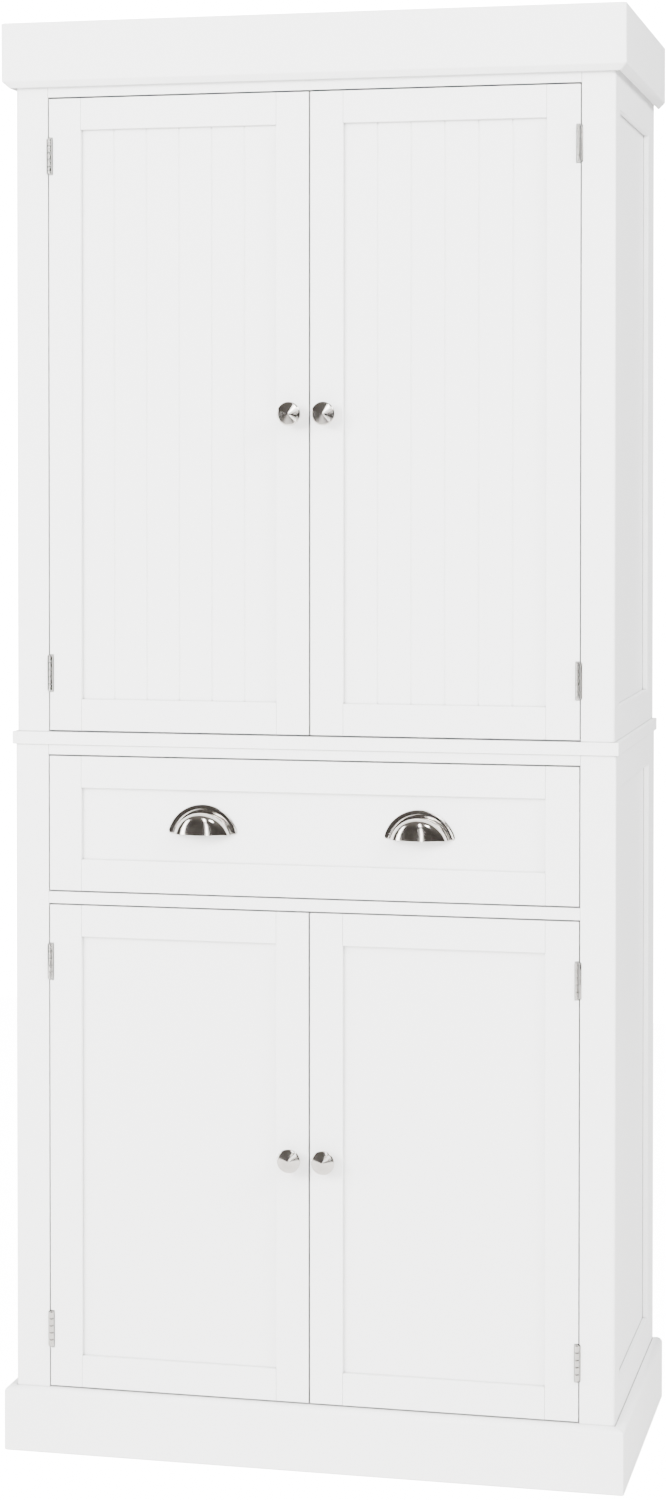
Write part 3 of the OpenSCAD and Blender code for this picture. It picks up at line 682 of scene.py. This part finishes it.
HINGE_H = 45.0 * MM
KNUCKLES = 5
KNUCKLE_R = 2.9 * MM
LEAF_T = 1.4 * MM
LEAF_W = 15.0 * MM
PIN_HEAD = 0.8 * MM
KNUCKLE_END_GAP = 0.3 * MM
LEAF_SCREWS = ((-16.0 * MM, 8.2 * MM), (0.0, 10.4 * MM), (16.0 * MM, 8.2 * MM))
satin_nickel = metal_finish(
    "satin nickel",
    (0.42, 0.41, 0.395, 1.0),
    (0.57, 0.555, 0.53, 1.0),
    (0.14, 0.24),
    (1.0, 1.0, 0.06),
    700.0,
    (0.80, 0.77, 0.73, 1.0),
)
leaf_screw = screw_mould(2.7 * MM, 0.1 * MM)


def barrel(bm, axis_x, axis_y, middle_z, owner):
    """The knuckles of one leaf: 0 for the frame's, 1 for the door's."""
    step = HINGE_H / KNUCKLES
    for n in range(owner, KNUCKLES, 2):
        half = step / 2 - KNUCKLE_END_GAP
        centre = (axis_x, axis_y, middle_z - HINGE_H / 2 + (n + 0.5) * step)
        outline = [
            (KNUCKLE_R * 0.45, -half),
            (KNUCKLE_R - 0.6 * MM, -half),
            (KNUCKLE_R, -half + 0.6 * MM),
            (KNUCKLE_R, half - 0.6 * MM),
            (KNUCKLE_R - 0.6 * MM, half),
            (KNUCKLE_R * 0.45, half),
            (KNUCKLE_R * 0.45, -half),
        ]
        turned(bm, outline, 28, Matrix.Translation(centre))


def leaf(bm, face_x, way, front_y, middle_z, start_y):
    """A leaf whose screwed face is at face_x and looks along way, with its screws."""
    back_x = face_x - way * LEAF_T
    depth = LEAF_W - start_y
    where = facing((back_x, front_y + start_y + depth / 2, middle_z), (way, 0.0, 0.0))
    rounded_plate(bm, (depth, HINGE_H, LEAF_T), 1.2 * MM, 0.2 * MM, where)
    for rise, back in LEAF_SCREWS:
        place = (face_x, front_y + back, middle_z + rise)
        set_screws(bm, leaf_screw, [(place, (way, 0.0, 0.0))])


frame_leaves = bmesh.new()
pins = bmesh.new()
for level, side in DOORS:
    way = -1.0 if side == "left" else 1.0
    name = f"{level}_{side}_hinge_leaves"
    low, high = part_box(name)
    outer_x = low.x if way < 0 else high.x
    axis_x = outer_x - way * KNUCKLE_R
    axis_y = low.y + KNUCKLE_R
    front_y = axis_y + 1.0 * MM
    post_x = outer_x + way * 0.2 * MM
    door_x = outer_x - way * 1.3 * MM
    door_leaves = bmesh.new()
    for middle_z in (low.z + HINGE_H / 2, high.z - HINGE_H / 2):
        barrel(frame_leaves, axis_x, axis_y, middle_z, 0)
        leaf(frame_leaves, post_x, -way, front_y, middle_z, 0.2 * MM)
        barrel(door_leaves, axis_x, axis_y, middle_z, 1)
        leaf(door_leaves, door_x, way, front_y, middle_z, 2.2 * MM)
        end = HINGE_H / 2
        pin_outline = [
            (0.0, -end - PIN_HEAD * 1.15),
            (1.3 * MM, -end - PIN_HEAD),
            (2.1 * MM, -end - PIN_HEAD * 0.5),
            (2.3 * MM, -end - 0.05 * MM),
            (1.25 * MM, -end),
            (1.25 * MM, end),
            (2.3 * MM, end + 0.05 * MM),
            (2.1 * MM, end + PIN_HEAD * 0.5),
            (1.3 * MM, end + PIN_HEAD),
            (0.0, end + PIN_HEAD * 1.15),
        ]
        turned(pins, pin_outline, 24, Matrix.Translation((axis_x, axis_y, middle_z)))
    bmesh.ops.remove_doubles(door_leaves, verts=door_leaves.verts, dist=0.001 * MM)
    door_set = new_piece(
        f"{level}_{side}_hinge_door_leaves",
        door_leaves,
        f"{level}_{side}_door",
        satin_nickel,
    )
    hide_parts(name)
bmesh.ops.remove_doubles(frame_leaves, verts=frame_leaves.verts, dist=0.001 * MM)
frame_set = new_piece(
    "hinge_post_leaves", frame_leaves, "cabinet", satin_nickel
)
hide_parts("hinge_frame_leaves")
pin_set = new_piece("hinge_pin_set", pins, "cabinet", satin_nickel)
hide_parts("hinge_pins")

# ---- Knobs ----
# Turned nickel-plated knobs with a slim neck and a low cone face. The face keeps the
# rings of the turning tool. A screw from behind the door holds each one.

RINGS_PER_METRE = 14000.0
CONE_STEPS = 12
CONE_EDGE = 0.95
spun_nickel, tree, shader = new_finish("spun nickel")
place = add_node(tree, "TexCoord", {}).outputs["Object"]
flattened = add_node(
    tree, "VectorMath", {0: place, 1: (1.0, 0.0, 1.0)}, operation="MULTIPLY"
)
from_axis = add_node(tree, "VectorMath", {0: flattened.outputs[0]}, operation="LENGTH")
ring_count = add_node(
    tree, "Math", {0: from_axis.outputs["Value"], 1: RINGS_PER_METRE}, operation="MULTIPLY"
)
rings = add_node(tree, "Math", {0: ring_count.outputs[0]}, operation="SINE")
ring_mask = add_node(tree, "MapRange", {0: rings.outputs[0], 1: -1.0, 2: 1.0}).outputs[0]
coat = use_effect(tree, coat_effect, {"Peel Scale": 400.0, "Drift Scale": 90.0})
nickel_dark = (0.46, 0.435, 0.405, 1.0)
nickel_light = (0.66, 0.635, 0.60, 1.0)
tree.links.new(
    blend_colours(tree, coat["Drift"], nickel_dark, nickel_light), shader.inputs["Base Color"]
)
tree.links.new(spread(tree, ring_mask, 0.13, 0.18), shader.inputs["Roughness"])
shader.inputs["Metallic"].default_value = 1.0
shader.inputs["Anisotropic"].default_value = 0.75
shader.inputs["Anisotropic Rotation"].default_value = 0.25
along_rings = add_node(tree, "Tangent", {}, direction_type="RADIAL", axis="Y")
tree.links.new(along_rings.outputs[0], shader.inputs["Tangent"])
raise_surface(tree, shader, ring_mask, 0.05, 0.03 * MM)

knob_screw = screw_mould(4.0 * MM, 1.1 * MM)
for level, side in DOORS:
    name = f"{level}_{side}_knob"
    low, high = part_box(name)
    door_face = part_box(f"{level}_{side}_door_frame")[0].y
    radius = (high.x - low.x) / 2
    reach = door_face - low.y
    centre = Vector(((low.x + high.x) / 2, door_face, (low.z + high.z) / 2))
    rim = reach - 3.4 * MM
    outline = [
        (0.0, 0.0),
        (radius * 0.46, 0.0),
        (radius * 0.50, 0.5 * MM),
        (radius * 0.49, 1.3 * MM),
        (radius * 0.42, 2.6 * MM),
        (radius * 0.385, 4.5 * MM),
        (radius * 0.385, 9.0 * MM),
        (radius * 0.43, 11.5 * MM),
        (radius * 0.56, 13.8 * MM),
        (radius * 0.78, 15.6 * MM),
        (radius * 0.93, 17.0 * MM),
        (radius * 0.99, rim - 2.2 * MM),
        (radius, rim - 1.2 * MM),
        (radius * 0.985, rim - 0.3 * MM),
        (radius * CONE_EDGE, rim + 0.15 * MM),
    ]
    cone_base = rim + 0.15 * MM
    for n in range(1, CONE_STEPS):
        part = n / CONE_STEPS
        height = cone_base + (reach - rim - 0.15 * MM) * part
        outline.append((radius * CONE_EDGE * (1 - part), height))
    outline.append((0.0, reach))
    bm = bmesh.new()
    outward = facing((0.0, 0.0, 0.0), FORWARD)
    turned(bm, outline, 72, outward)
    back = high.y - door_face
    shank = [(0.0, -back), (2.0 * MM, -back), (2.0 * MM, 6.0 * MM), (0.0, 6.0 * MM)]
    turned(bm, shank, 16, outward)
    set_screws(bm, knob_screw, [((0.0, back - 1.15 * MM, 0.0), BACKWARD)])
    door = f"{level}_{side}_door"
    knob = new_piece(
        f"{door}_knob", bm, door, spun_nickel, centre, 28.0
    )
    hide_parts(name)

# ---- Drawer front and box ----
# The front is a fibreboard frame and panel like the doors. Behind it is a softwood
# box with a thin plywood bottom held in grooves, all clear lacquered.

finish_part("drawer_front_frame", satin_white)
finish_part("drawer_front_panel", satin_white, 0.5 * MM)
finish_part("drawer_sides", wood_along_y)
finish_part("drawer_bottom", wood_along_y, 0.3 * MM)
for name in ("drawer_box_front", "drawer_back"):
    finish_part(name, wood_along_x)

# ---- Cup pulls ----
# Two pressed satin nickel cups, each with a flat flange round a deep open bowl whose
# face bends round the fingers. Two screws from inside the drawer hold each one.

pull_rubbed = (0.82, 0.80, 0.77, 1.0)
pull_nickel, tree, shader = new_finish("pull satin nickel")
grain = use_effect(
    tree,
    grain_effect,
    {"Across X": 1.0, "Across Y": 1.0, "Across Z": 0.05, "Scale": 500.0, "Waver": 0.0},
)
edge_wear_and_highlight = use_effect(tree, edge_wear_and_highlight_effect, {"Width": 0.0006, "Break Scale": 200.0})["Mask"]
field = blend_colours(tree, grain["Figure"], nickel_dark, nickel_light)
tree.links.new(
    blend_colours(tree, edge_wear_and_highlight, field, pull_rubbed), shader.inputs["Base Color"]
)
tree.links.new(spread(tree, grain["Fibre"], 0.09, 0.17), shader.inputs["Roughness"])
shader.inputs["Metallic"].default_value = 1.0
raise_surface(tree, shader, grain["Fibre"], 0.06, 0.03 * MM)

pulls_low, pulls_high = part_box("cup_pulls")
panel_face = pulls_high.y
pull_h = pulls_high.z - pulls_low.z
pull_w = 92.0 * MM
pull_reach = panel_face - pulls_low.y
FLANGE_W = 8.0 * MM
SHEET_T = 1.6 * MM
COLUMNS = 72
SCREW_INSET = 4.0 * MM
SHANK_LENGTH = 24.0 * MM
BOWL_SHARES = (
    (1.0, 0.997, 0.99, 0.98, 0.965, 0.945, 0.92, 0.89, 0.85, 0.8)
    + (0.72, 0.63, 0.54, 0.45, 0.36, 0.28, 0.2, 0.13, 0.07, 0.03)
)
arch_r = ((pull_w / 2) ** 2 + pull_h**2) / (2 * pull_h)
bowl_r = arch_r - FLANGE_W
arch_z = pull_h - arch_r
bowl_half = math.sqrt(bowl_r**2 - arch_z**2)
side_drop = pull_reach * 0.5
END_ROUND = 5.0 * MM
FACE_FLATNESS = 9.0
FLANGE_CROWN = 0.5 * MM


def arch_point(radius, along, low_z):
    """A point on the arch of that radius, along from one end at low_z to the other."""
    start = math.asin((low_z - arch_z) / radius)
    a = math.pi - start - along * (math.pi - 2 * start)
    return radius * math.cos(a), arch_z + radius * math.sin(a)


def bowl_depth(x, share):
    """How far the bowl stands out where it is that share of the way to its rim."""
    face = pull_reach - side_drop * (x / bowl_half) ** 2
    return SHEET_T + (face - SHEET_T) * (1 - share**FACE_FLATNESS) ** 0.45


def cup_grid():
    """Rows of points from the flange's outer edge over the bowl to its lower middle."""
    rows = []
    flange_radii = [arch_r, arch_r - 0.5 * MM]
    flange_radii += [arch_r - FLANGE_W * n / 6 for n in range(1, 6)]
    for radius in flange_radii:
        beyond = max(0.0, radius - (arch_r - END_ROUND))
        low_z = END_ROUND - math.sqrt(END_ROUND**2 - beyond**2) if beyond else 0.0
        crown = FLANGE_CROWN * math.sin(math.pi * (arch_r - radius) / FLANGE_W)
        row = []
        for n in range(COLUMNS + 1):
            x, z = arch_point(radius, n / COLUMNS, low_z)
            row.append((x, -SHEET_T - crown, z))
        rows.append(row)
    for share in BOWL_SHARES:
        row = []
        for n in range(COLUMNS + 1):
            rim_x, rim_z = arch_point(bowl_r, n / COLUMNS, 0.0)
            x, z = rim_x * share, rim_z * share
            row.append((x, -bowl_depth(x, share), z))
        rows.append(row)
    return rows


pull_screw = screw_mould(4.0 * MM, 1.1 * MM)
screws_low, screws_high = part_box("pull_screws")
screw_bm = bmesh.new()
for side, label in ((-1.0, "left"), (1.0, "right")):
    middle_x = side * (pulls_high.x - pull_w / 2)
    bm = bmesh.new()
    grid = [[bm.verts.new(point) for point in row] for row in cup_grid()]
    for upper, lower in zip(grid, grid[1:]):
        for n in range(COLUMNS):
            bm.faces.new((upper[n], upper[n + 1], lower[n + 1], lower[n]))
    middle = bm.verts.new((0.0, -bowl_depth(0.0, 0.0), 0.0))
    for n in range(COLUMNS):
        bm.faces.new((grid[-1][n], grid[-1][n + 1], middle))
    origin = (middle_x, panel_face, pulls_low.z)
    pull = new_piece(
        f"{label}_cup_pull", bm, "drawer", pull_nickel, origin, 60.0
    )
    sheet = pull.modifiers.new("sheet thickness", "SOLIDIFY")
    sheet.thickness = SHEET_T
    sheet.offset = -1.0
    eased = pull.modifiers.new("eased edges", "BEVEL")
    eased.width = 0.35 * MM
    eased.segments = 2
    eased.limit_method = "ANGLE"
    eased.angle_limit = math.radians(50.0)
    if label == "left":
        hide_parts("cup_pulls")
    for out in (-1.0, 1.0):
        x = middle_x + out * (screws_high.x - SCREW_INSET - (pulls_high.x - pull_w / 2))
        z = (screws_low.z + screws_high.z) / 2
        shank = [
            (0.0, 0.0),
            (2.0 * MM, 0.0),
            (2.0 * MM, SHANK_LENGTH),
            (0.0, SHANK_LENGTH),
        ]
        turned(screw_bm, shank, 16, facing((x, screws_high.y - 2.4 * MM, z), FORWARD))
        place = (x, screws_high.y - 1.2 * MM, z)
        set_screws(screw_bm, pull_screw, [(place, BACKWARD)])
screws = new_piece("pull_fixing_screws", screw_bm, "drawer", zinc_plate)
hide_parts("pull_screws")

# ---- Floor and light ----
# A plain pale floor, big soft lights above to the front left and to the right, and
# slim ones that shape the metal's highlights. The room is pale, but metal reflects
# a dim warm one, so that it keeps its dark parts.

FLOOR_HALF = 3.0
FLOOR_GLOW = 14.0
ROOM_SEEN = 20.0
ROOM_LIT = 1.75
room_white = (1.0, 1.0, 1.0, 1.0)
room_cool = (0.97, 0.985, 1.0, 1.0)
reflected_low = (0.075, 0.064, 0.058, 1.0)
reflected_high = (0.30, 0.275, 0.255, 1.0)
bm = bmesh.new()
bmesh.ops.create_grid(bm, x_segments=1, y_segments=1, size=FLOOR_HALF)
floor_mesh = bpy.data.meshes.new("floor")
bm.to_mesh(floor_mesh)
bm.free()
floor = bpy.data.objects.new("floor", floor_mesh)
bpy.context.scene.collection.objects.link(floor)
pale_floor, tree, shader = new_finish("pale floor")
shader.inputs["Base Color"].default_value = (0.78, 0.76, 0.74, 1.0)
shader.inputs["Roughness"].default_value = 0.9
shader.inputs["Emission Color"].default_value = room_white
floor_path = add_node(tree, "LightPath", {}).outputs
glow = add_node(
    tree, "Math", {0: floor_path["Is Camera Ray"], 1: FLOOR_GLOW}, operation="MULTIPLY"
)
tree.links.new(glow.outputs[0], shader.inputs["Emission Strength"])
floor_mesh.materials.append(pale_floor)

room = bpy.data.worlds.new("pale room")
room.use_nodes = True
tree = room.node_tree
path = add_node(tree, "LightPath", {}).outputs
seen = add_node(tree, "Background", {"Color": room_white, "Strength": ROOM_SEEN})
lit = add_node(tree, "Background", {"Color": room_cool, "Strength": ROOM_LIT})
direction = add_node(tree, "TexCoord", {}).outputs["Generated"]
rise = add_node(tree, "SeparateXYZ", {0: direction}).outputs[2]
above = add_node(tree, "MapRange", {0: rise, 1: 0.0, 2: 0.8}).outputs[0]
shade = blend_colours(tree, above, reflected_low, reflected_high)
shiny = add_node(tree, "Background", {"Color": shade, "Strength": 1.0})
by_gloss = add_node(
    tree, "MixShader", {0: path["Is Glossy Ray"], 1: lit.outputs[0], 2: shiny.outputs[0]}
)
by_sight = add_node(
    tree, "MixShader", {0: path["Is Camera Ray"], 1: by_gloss.outputs[0], 2: seen.outputs[0]}
)
tree.links.new(by_sight.outputs[0], tree.nodes["World Output"].inputs["Surface"])
bpy.context.scene.world = room


def soft_light(name, place, aim, size, power, colour):
    """A rectangular area light that looks from its place at its aim."""
    data = bpy.data.lights.new(name, "AREA")
    data.shape = "RECTANGLE"
    data.size, data.size_y = size
    data.energy = power
    data.color = colour
    light = bpy.data.objects.new(name, data)
    light.location = place
    light.rotation_euler = (Vector(aim) - Vector(place)).to_track_quat("-Z", "Y").to_euler()
    light.visible_camera = False
    bpy.context.scene.collection.objects.link(light)
    return light


WHITE = (1.0, 1.0, 1.0)
key = soft_light("key", (-2.0, -4.2, 2.5), (0.0, 0.0, 0.9), (1.8, 1.8), 500.0, WHITE)
key.visible_glossy = False
soft_light("high strip", (0.25, -4.3, 2.5), (0.0, 0.0, 1.4), (0.40, 2.1), 85.0, WHITE)
soft_light("low strip", (0.25, -4.3, 0.45), (0.0, 0.0, 0.6), (0.26, 0.8), 14.0, WHITE)
soft_light("left strip", (-3.1, -2.0, 1.1), (0.0, -0.2, 1.0), (0.8, 2.2), 90.0, WHITE)
soft_light("upper right", (2.2, -3.3, 3.1), (0.0, -0.2, 1.2), (0.8, 0.8), 90.0, WHITE)
fill = soft_light("right fill", (3.6, -1.8, 3.3), (0.3, 0.0, 0.8), (1.8, 1.8), 370.0, WHITE)
fill.visible_glossy = False
bounce = soft_light("bounce", (0.6, -2.6, 0.05), (0.0, 0.0, 1.6), (2.6, 1.2), 60.0, WHITE)
bounce.visible_glossy = False
